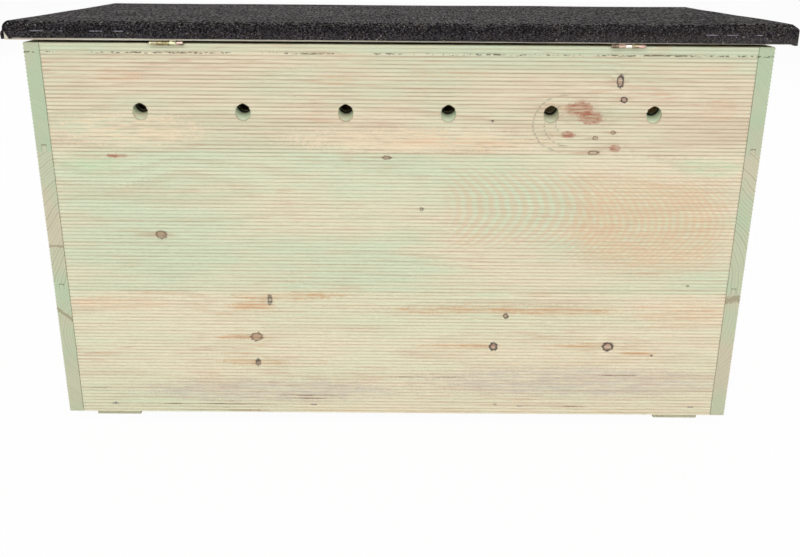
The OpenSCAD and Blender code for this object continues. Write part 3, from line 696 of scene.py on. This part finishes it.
def plain_wood(name, grain_axis, seed, light, dark, ply=None):
    """Unreeded wood. ply is a plywood panel's node and the axis across its layers."""
    material, nodes = new_material(name)
    place = nodes.object_place()
    rotation = {X: (0.0, 0.0, 0.0), Y: (0.0, 0.0, QUARTER), Z: (0.0, QUARTER, 0.0)}[grain_axis]
    grain = nodes.group(GRAIN, {
        "Position": nodes.rotated(place, rotation), "Pith": (0.0, 0.31, -0.27),
        "Spacing": PLAIN_RING, "Push": 0.0, "Seed": seed * 0.53})
    colour = nodes.over(light, dark, nodes.step(grain["Patch"], 0.3, 0.75))
    colour = nodes.over(colour, LATE_WOOD, grain["Ring"], 0.4)
    colour = nodes.over(colour, PINK_BROWN, grain["Streak"], 0.35)
    if ply:
        node, axis = ply
        low, high = (corner[axis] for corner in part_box(node))
        layer = nodes.math("SUBTRACT", nodes.split(place)[axis], low)
        layer = nodes.product(layer, PLY_COUNT / (high - low))
        odd = nodes.math("PINGPONG", nodes.math("SUBTRACT", layer, 0.5), 1.0)
        colour = nodes.over(colour, PLY_BROWN, nodes.step(odd, 0.42, 0.58), 0.55)
    colour = nodes.lit(colour, nodes.line(grain["Fibre"], 0.16, 0.92))
    wood_surface(nodes, colour, 0.72, grain["Fibre"])
    return material


# ---- Metal ----

YELLOW_BRASS = srgb(186, 178, 150)
YELLOW_WORN = srgb(84, 74, 56)
ROSE_BRASS = srgb(206, 186, 166)
ROSE_WORN = srgb(104, 76, 66)
# Colours of the knuckles, from +X: their tarnish with painted highlights and reflections, such as
# the near-white one
YELLOW_KNUCKLES_AND_GLINTS = (srgb(212, 204, 166), srgb(176, 162, 122), srgb(164, 154, 112),
                   srgb(226, 226, 186), srgb(216, 190, 176))
ROSE_KNUCKLES_AND_GLINTS = (srgb(140, 130, 106), srgb(214, 188, 168), srgb(250, 244, 232),
                 srgb(188, 176, 144), srgb(226, 190, 178))


def knuckle_colour(nodes, apart, start, colours):
    """The colour of each knuckle of a hinge whose end at +X is start, painted highlights included.
    """
    share = nodes.math("DIVIDE", nodes.math("SUBTRACT", start, apart[X]), HINGE_LONG)
    node = nodes.add("ShaderNodeValToRGB", {0: share})
    ramp = node.color_ramp
    ramp.interpolation = "CONSTANT"
    for index, colour in enumerate(colours):
        part = index / len(colours)
        element = ramp.elements[0] if index == 0 else ramp.elements.new(part)
        element.position = part
        element.color = colour
    ramp.elements.remove(ramp.elements[-1])
    return node.outputs[0]


def plated(name, colour, worn, roughness, smears=False, knuckles=None):
    """Metal with a dull worn film, or with smears of bitumen some millimetres long, fewer at -X.
    knuckles gives a leaf's node and the colours of its hinge's knuckles, with painted highlights."""
    material, nodes = new_material(name)
    place = nodes.object_place()
    apart = nodes.split(place)
    film = nodes.noise(place, (160.0, 160.0, 160.0) if smears else (210.0, 600.0, 600.0), 3.0, 0.6)
    if smears:
        film = nodes.line(nodes.step(apart[X], -0.15, -0.21), -0.1, film)
    if knuckles:
        leaf, colours = knuckles
        there = nodes.step(apart[Y], HINGE.y - 2.0 * MM, HINGE.y - 1.5 * MM)
        rolled = knuckle_colour(nodes, apart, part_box(leaf)[1].x, colours)
        colour = nodes.over(colour, rolled, there)
    tint = nodes.over(colour, worn, nodes.step(film, 0.36, 0.58 if smears else 0.7))
    scratches = nodes.noise(place, (300.0, 5000.0, 5000.0))
    nodes.surface(tint, nodes.line(film, 0.25, roughness - 0.1), (scratches, 0.2, 0.1 * MM),
                  {"Metallic": 1.0})
    return material


# ---- Felt ----

SLATE_DARK = srgb(18, 17, 20)
SLATE_PALE = srgb(70, 67, 71)
SLATE_BROWN = srgb(76, 68, 62)
SLATE_BLUE = srgb(68, 65, 78)
# Painted highlight and painted shadow of the granules
GRANULE_HIGHLIGHT = srgb(110, 107, 105)
GRANULE_SHADOW = srgb(2, 2, 2)
PALE_GRANULE = srgb(176, 170, 160)
WORN_FELT = srgb(20, 19, 20)
FADED_FELT = srgb(122, 116, 112)
BITUMEN = srgb(14, 13, 15)
GRANULES_PER_METRE = 1100.0


def granule_felt():
    """Bitumen felt under a layer of slate granules."""
    material, nodes = new_material("mineral_felt")
    place = nodes.object_place()
    grains = nodes.add("ShaderNodeTexVoronoi", {"Vector": place, "Scale": GRANULES_PER_METRE},
                       feature="F1").outputs
    hue = nodes.add("ShaderNodeSeparateColor", {0: grains["Color"]}).outputs
    colour = nodes.over(SLATE_DARK, SLATE_PALE, nodes.step(hue[0], 0.4, 1.0))
    colour = nodes.over(colour, SLATE_BROWN, nodes.step(hue[1], 0.72, 1.0))
    colour = nodes.over(colour, SLATE_BLUE, nodes.step(hue[2], 0.80, 1.0))
    # Lighter and near-black clumps, stretched along Y and stronger on the top, are painted
    # highlights and shadows of the granules
    rows = nodes.noise(place, (560.0, 150.0, 1700.0), 2.0, 0.6)
    facing = nodes.split(nodes.add("ShaderNodeNewGeometry").outputs["True Normal"])
    on_top = nodes.line(nodes.step(facing[Z], 0.2, 0.9), 0.6, 0.4)
    colour = nodes.over(colour, GRANULE_HIGHLIGHT, nodes.step(rows, 0.48, 0.60), on_top, 0.9)
    colour = nodes.over(colour, GRANULE_SHADOW, nodes.step(rows, 0.51, 0.40), on_top)
    # One granule in a hundred is pale
    pale = nodes.step(nodes.product(hue[1], hue[2]), 0.84, 0.92)
    colour = nodes.over(colour, PALE_GRANULE, pale, 0.8)
    worn = nodes.noise(place, (28.0, 28.0, 28.0), 3.0)
    colour = nodes.over(colour, WORN_FELT, nodes.step(worn, 0.4, 0.75), 0.35)
    # Its edge has faded a little towards -X
    along = nodes.step(nodes.split(place)[X], 0.0, -0.24)
    colour = nodes.over(colour, FADED_FELT, along, nodes.math("SUBTRACT", 1.0, on_top), 0.16)
    # The coating shows dark between the granules where the felt is bent over an edge
    bend = nodes.add("ShaderNodeAttribute", attribute_type="GEOMETRY", attribute_name="bend")
    between = nodes.step(hue[0], 0.95, 0.25)
    colour = nodes.over(colour, BITUMEN, bend.outputs["Fac"], between, 0.7)
    height = nodes.math("SUBTRACT", 1.0, nodes.product(grains["Distance"], 1.4))
    nodes.surface(colour, 0.9, (height, 0.8, 0.4 * MM), {"Specular IOR Level": 0.02})
    return material


def rise(value, low, high):
    """0 at low and 1 at high, smoothly between them."""
    share = min(max((value - low) / (high - low), 0.0), 1.0)
    return share * share * (3 - 2 * share)


def lid_fall():
    """The lid's fall towards the front at rest, from the slope of the roof board."""
    mesh = frame["nodes"]["roof_board"].data
    top = max((face for face in mesh.polygons if face.normal.z > 0.5), key=lambda face: face.area)
    return math.atan2(-top.normal.y, top.normal.z)


FALL = Matrix.Rotation(lid_fall(), 3, "X")


def level_box(node):
    """The box of a node of the lid, with the lid turned level."""
    level = FALL.transposed()
    vertices = frame["nodes"][node].data.vertices
    places = [HINGE + level @ (vertex.co - HINGE) for vertex in vertices]
    return (Vector([min(place[i] for place in places) for i in range(3)]),
            Vector([max(place[i] for place in places) for i in range(3)]))


BOARD_LOW, BOARD_HIGH = level_box("roof_board")
FELT_THICK = 1.4 * MM
FELT_BEND = 5.5 * MM
FELT_CORNER = 4.5 * MM
# The felt's half sizes, its middle and its top, 0.1 mm off the board and with the lid level
FELT_OFF = FELT_THICK + 0.1 * MM
FELT_X = BOARD_HIGH.x + FELT_OFF
FELT_Y = (BOARD_HIGH.y - BOARD_LOW.y) / 2 + FELT_OFF
FELT_MIDDLE = Vector((0, (BOARD_HIGH.y + BOARD_LOW.y) / 2, 0))
FELT_TOP = BOARD_HIGH.z + FELT_OFF

# The hem leaves this much of the board bare: at the front and the ends, and at the rear, where it
# leaves more towards +X. An uneven cut makes it wavy
HEM = 1.2 * MM
REAR_HEM = 1.0 * MM
REAR_HEM_LEAN = 0.65 * MM
HEM_WAVE = 0.25 * MM
# How much lower the flap at the open corner hangs, and the fold at the other rear corner
FLAP_DROP = 1.5 * MM
FOLD_DROP = 1.2 * MM
# How far the felt stands off the board: in slow waves, in quick waves, and towards the rear corner
# at -X, which was folded last
SLOW_WAVE = 0.30 * MM
QUICK_WAVE = 0.10 * MM
CORNER_LIFT = 1.3 * MM

# The corner at +X and +Y is open below this height. The rear skirt is cut back there on a slant,
# and the side one curls outwards. Both come back to their places over this length
OPEN_TOP = 332.4 * MM
OPEN_SLANT = 0.58
OPEN_CURL = 0.5 * MM
OPEN_LENGTH = 30 * MM
# The skirts are folded over each other round the other corners, this far from the corner, and
# farther higher up
FOLD_REACH = 17 * MM
FOLD_SLANT = 0.5
# The corner's signs, how thick the fold is, and the heights above OPEN_TOP where it starts and
# where it is full
FOLDS = (
    (-1, 1, 2.2 * MM, 6.8 * MM, 4.2 * MM),
    (-1, -1, 0.9 * MM, 1.5 * MM, -1.0 * MM),
    (1, -1, 0.9 * MM, 1.5 * MM, -1.0 * MM),
)

# Points along the long sides, the short sides and a corner, and rows of points up the felt
LONG_POINTS = 110
SHORT_POINTS = 52
CORNER_POINTS = 7
HALF_CORNER_POINTS = 3
SKIRT_ROWS = 8
BEND_ROWS = 6
# Shares of the way from the bend to the middle of the top
TOP_STEPS = (0.02, 0.045, 0.08, 0.13, 0.2, 0.3, 0.42, 0.56, 0.7, 0.85, 1.0)
# Points closer than this are one
TOGETHER = 0.005 * MM


def outline(half_x, half_y, radius):
    """Points round a rectangle with round corners, from the middle of the corner at +X and +Y,
    each with its distance along the outline."""
    flat_x, flat_y = half_x - radius, half_y - radius
    diagonal = radius * math.sqrt(0.5)
    start = (flat_x + diagonal, flat_y + diagonal)
    points = [start]

    def arc(side_x, side_y, first, last, count):
        for step in range(count):
            angle = math.radians(first + (last - first) * (step + 0.5) / count)
            points.append((flat_x * side_x + radius * math.cos(angle),
                           flat_y * side_y + radius * math.sin(angle)))

    def edge(first, last, count):
        """Points that lie closer together towards the corners."""
        for step in range(count + 1):
            even = step / count
            share = 0.45 * even + 0.55 * (0.5 - 0.5 * math.cos(math.pi * even))
            points.append((first[0] + (last[0] - first[0]) * share,
                           first[1] + (last[1] - first[1]) * share))

    arc(1, 1, 45, 90, HALF_CORNER_POINTS)
    edge((flat_x, half_y), (-flat_x, half_y), LONG_POINTS)
    arc(-1, 1, 90, 180, CORNER_POINTS)
    edge((-half_x, flat_y), (-half_x, -flat_y), SHORT_POINTS)
    arc(-1, -1, 180, 270, CORNER_POINTS)
    edge((-flat_x, -half_y), (flat_x, -half_y), LONG_POINTS)
    arc(1, -1, 270, 360, CORNER_POINTS)
    edge((half_x, -flat_y), (half_x, flat_y), SHORT_POINTS)
    arc(1, 1, 0, 45, HALF_CORNER_POINTS)
    points.append(start)
    gone = 0.0
    spots = [(*start, gone)]
    for before, point in zip(points, points[1:]):
        gone += math.dist(point, before)
        spots.append((*point, gone))
    return spots


def skirt_hem(x, y):
    """Height of the skirt's lower edge, which lies above the board's."""
    rear = y > FELT_Y - 8 * MM
    bare = REAR_HEM + REAR_HEM_LEAN * x / FELT_X if rear else HEM
    bare += HEM_WAVE * noise.noise(Vector((x * 34, y * 34, 3.1)))
    bare -= FLAP_DROP * rise(FELT_X - x, 6 * MM, 0) * rise(y, FELT_Y - OPEN_LENGTH, FELT_Y)
    bare -= FOLD_DROP * rise(math.dist((x, y), (-FELT_X, FELT_Y)), 5 * MM, 2 * MM)
    return BOARD_LOW.z + bare


def felt_swell(x, y, z):
    """How far the felt stands off the board at a point, beyond lying on it."""
    swell = SLOW_WAVE * (1 + noise.noise(Vector((x * 11, y * 14, z * 9 + 0.7))))
    swell += QUICK_WAVE * (1 + noise.noise(Vector((x * 52, y * 52, z * 40 + 5.2))))
    lift = rise(-x, FELT_X - 90 * MM, FELT_X - 15 * MM) * rise(y, -FELT_Y, FELT_Y)
    swell += CORNER_LIFT * lift * rise(z, OPEN_TOP, OPEN_TOP + 6 * MM)
    reach = FOLD_REACH + FOLD_SLANT * (z - OPEN_TOP)
    for side_x, side_y, thick, start, full in FOLDS:
        near = rise(abs(x - side_x * FELT_X), 3.5 * MM, 0.8 * MM)
        beside = rise(abs(y - side_y * FELT_Y), reach + 0.8 * MM, reach)
        swell += thick * near * beside * rise(z, OPEN_TOP + start, OPEN_TOP + full)
    return swell


def open_corner(x, y, z, from_start, to_end, half_x, half_y):
    """Moves the skirts' ends apart at the open corner: the rear one is cut on a slant, and the
    side one runs on."""
    gap = OPEN_TOP - z
    if gap <= 0:
        return x, y
    opened = rise(gap, 0.0, 3 * MM)
    if from_start < OPEN_LENGTH:
        x -= OPEN_SLANT * gap * (1 - from_start / OPEN_LENGTH)
        y += (half_y - y) * opened
    elif to_end < OPEN_LENGTH:
        curl = math.sin(math.pi * min(gap / (8 * MM), 1.0)) * (1 - to_end / OPEN_LENGTH)
        x += (half_x - x) * opened + OPEN_CURL * curl
        reach = half_y - 0.3 * MM - to_end
        y += (max(reach, y) - y) * opened
    return x, y


def felt_rows(inset):
    """Rows of points over one face of the felt, from the skirt's hem to the middle of the top.
    inset is how far the face lies inside the outer one."""
    rows = []
    half_x, half_y = FELT_X - inset, FELT_Y - inset
    bend = FELT_BEND - inset
    corner = max(FELT_CORNER - inset, 0.3 * MM)
    skirt = outline(half_x, half_y, corner)
    length = skirt[-1][2]
    bend_low = FELT_TOP - inset - bend
    for row in range(SKIRT_ROWS):
        line = []
        for x, y, gone in skirt:
            low = skirt_hem(x, y)
            z = low + (bend_low - low) * row / SKIRT_ROWS
            x, y = open_corner(x, y, z, gone, length - gone, half_x, half_y)
            line.append(Vector((x, y, z)))
        rows.append(line)
    for row in range(BEND_ROWS + 1):
        angle = math.radians(90 * row / BEND_ROWS)
        drawn = bend * (1 - math.cos(angle))
        line = outline(half_x - drawn, half_y - drawn, max(corner - drawn, 0.2 * MM))
        rows.append([Vector((x, y, bend_low + bend * math.sin(angle))) for x, y, _ in line])
    edge = rows[-1]
    for share in TOP_STEPS:
        rows.append([Vector((point.x * (1 - share), point.y * (1 - share), point.z))
                     for point in edge])
    return rows


def way_out(point, row):
    """The way out of the felt at a point: up on the top, and on the skirt away from the nearest
    edge or from the corner."""
    up = Vector((0, 0, 1))
    if row > SKIRT_ROWS + BEND_ROWS // 2:
        return up
    core_x, core_y = FELT_X - FELT_CORNER, FELT_Y - FELT_CORNER
    away = Vector((point.x - min(max(point.x, -core_x), core_x),
                   point.y - min(max(point.y, -core_y), core_y), 0))
    return away.normalized() if away.length > 1e-7 else up


def felt_layer(mesh, bent, inset, swells):
    """Adds the points of one face of the felt. swells is 1 where it stands off the board, or 0."""
    layer = []
    for index, row in enumerate(felt_rows(inset)):
        line = []
        for point in row:
            swell = felt_swell(*point) * swells
            place = point + way_out(point, index) * swell + FELT_MIDDLE
            vertex = mesh.verts.new(HINGE + FALL @ (place - HINGE))
            vertex[bent] = swells * rise(abs(index - SKIRT_ROWS - 1), 5.5, 1.5)
            line.append(vertex)
        layer.append(line)
    return layer


def make_felt():
    """The felt as one closed sheet: its outer face, its inner face and the hem between them."""
    mesh = bmesh.new()
    bent = mesh.verts.layers.float.new("bend")
    outer = felt_layer(mesh, bent, 0.0, 1.0)
    inner = felt_layer(mesh, bent, FELT_THICK, 0.0)
    last = len(outer[0]) - 1
    for row in range(len(outer) - 1):
        for side in range(last):
            mesh.faces.new((outer[row][side], outer[row][side + 1],
                            outer[row + 1][side + 1], outer[row + 1][side]))
            mesh.faces.new((inner[row][side], inner[row + 1][side],
                            inner[row + 1][side + 1], inner[row][side + 1]))
    for side in range(last):
        mesh.faces.new((outer[0][side + 1], outer[0][side], inner[0][side], inner[0][side + 1]))
    # The skirt's two ends at the open corner
    for row in range(SKIRT_ROWS):
        mesh.faces.new((outer[row][0], outer[row + 1][0], inner[row + 1][0], inner[row][0]))
        mesh.faces.new((outer[row + 1][last], outer[row][last],
                        inner[row][last], inner[row + 1][last]))
    bmesh.ops.remove_doubles(mesh, verts=mesh.verts, dist=TOGETHER)
    bmesh.ops.dissolve_degenerate(mesh, edges=mesh.edges, dist=TOGETHER)
    bmesh.ops.recalc_face_normals(mesh, faces=mesh.faces)
    data = bpy.data.meshes.new("mineral_felt_sheet")
    mesh.to_mesh(data)
    mesh.free()
    data.shade_smooth()
    data.set_sharp_from_angle(angle=math.radians(50))
    return new_object("mineral_felt_sheet", data)


# ---- The scene ----

def cover(material, *nodes):
    """Gives CAD nodes a material."""
    for node in nodes:
        for slot in frame["nodes"][node].material_slots:
            slot.material = material


def cover_walls():
    parts = ("lower", "middle", "upper")
    for seed, part in enumerate(parts, 1):
        name = "rear_board_" + part
        cover(Board(name, (Y, 1), seed, REAR_LOOKS[part]).finish(), name)
    for index, part in enumerate(parts):
        name = "front_board_" + part
        knots = chance_knots(index + 20, *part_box(name), 5)
        cover(Board(name, (Y, -1), index + 5, {"knots": knots}).finish(), name)
    for side, sign in (("left", -1), ("right", 1)):
        for index, part in enumerate(parts):
            name = f"{side}_board_{part}"
            low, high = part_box(name)
            # The wood of a side board grows along X, which is the board's -Y
            knots = chance_knots(index + 40 + 3 * sign, Vector((-high.y, 0, low.z)),
                                 Vector((-low.y, 0, high.z)), 3)
            look = {"green": 0.5, "warmth": 0.4, "pale": 1.07, "knots": knots,
                    "ends": SIDE_ENDS[name]}
            if part == "upper":
                look.update(pale=1.01, specks=(0.7, 0.3))
            cover(Board(name, (X, sign), index + 9 + sign, look).finish(), name)


def cover_plain_wood():
    upright = plain_wood("sawn_pine_upright", Z, 3, srgb(226, 206, 166), srgb(212, 196, 156))
    cover(upright, "rear_left_post", "rear_right_post", "front_left_post", "front_right_post",
          "partition_front_cleat", "partition_rear_cleat")
    # The bearers are paler than the other sawn pine, as painted light on their shaded faces
    bearer = plain_wood("sawn_pine_bearer", Y, 5, srgb(240, 236, 208), srgb(226, 226, 194))
    cover(bearer, "left_bearer", "right_bearer")
    cover(plain_wood("floor_ply", X, 7, srgb(224, 200, 158), srgb(210, 186, 142),
                     ("floor_panel", Z)), "floor_panel")
    cover(plain_wood("partition_ply", Z, 8, srgb(226, 204, 162), srgb(212, 188, 146),
                     ("partition_panel", X)), "partition_panel")
    cover(plain_wood("roof_board_pine", X, 9, srgb(240, 236, 218), srgb(230, 225, 202)),
          "roof_board")


def cover_metal():
    cover(plated("yellow_brass", YELLOW_BRASS, YELLOW_WORN, 0.34),
          "right_hinge_pin", "left_hinge_pin", "wall_leaf_screws", "lid_leaf_screws")
    yellow = plated("yellow_brass_knuckles", YELLOW_BRASS, YELLOW_WORN, 0.34,
                    knuckles=("right_hinge_lid_leaf", YELLOW_KNUCKLES_AND_GLINTS))
    cover(yellow, "right_hinge_wall_leaf", "right_hinge_lid_leaf")
    rose = plated("rose_brass_knuckles", ROSE_BRASS, ROSE_WORN, 0.3,
                  knuckles=("left_hinge_lid_leaf", ROSE_KNUCKLES_AND_GLINTS))
    cover(rose, "left_hinge_wall_leaf", "left_hinge_lid_leaf")
    cover(plated("zinc", srgb(188, 190, 194), srgb(138, 140, 146), 0.4),
          "left_side_brads", "right_side_brads", "cleat_brads", "floor_screws", "floor_staples",
          "partition_screws")
    cover(plated("smeared_zinc", srgb(126, 122, 130), srgb(40, 38, 40), 0.5, smears=True),
          "felt_staples")


place_camera()
light_world()
for name, (place, aim, side, power) in LAMPS.items():
    place_lamp(name, place, aim, side, power)
lay_floor()
cover_walls()
cover_plain_wood()
cover_metal()

felt = make_felt()
mineral_felt = granule_felt()
felt.data.materials.append(mineral_felt)
cover(mineral_felt, "roof_felt")
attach(felt, "lid")
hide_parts("roof_felt")

bpy.context.scene.view_settings.view_transform = "Standard"
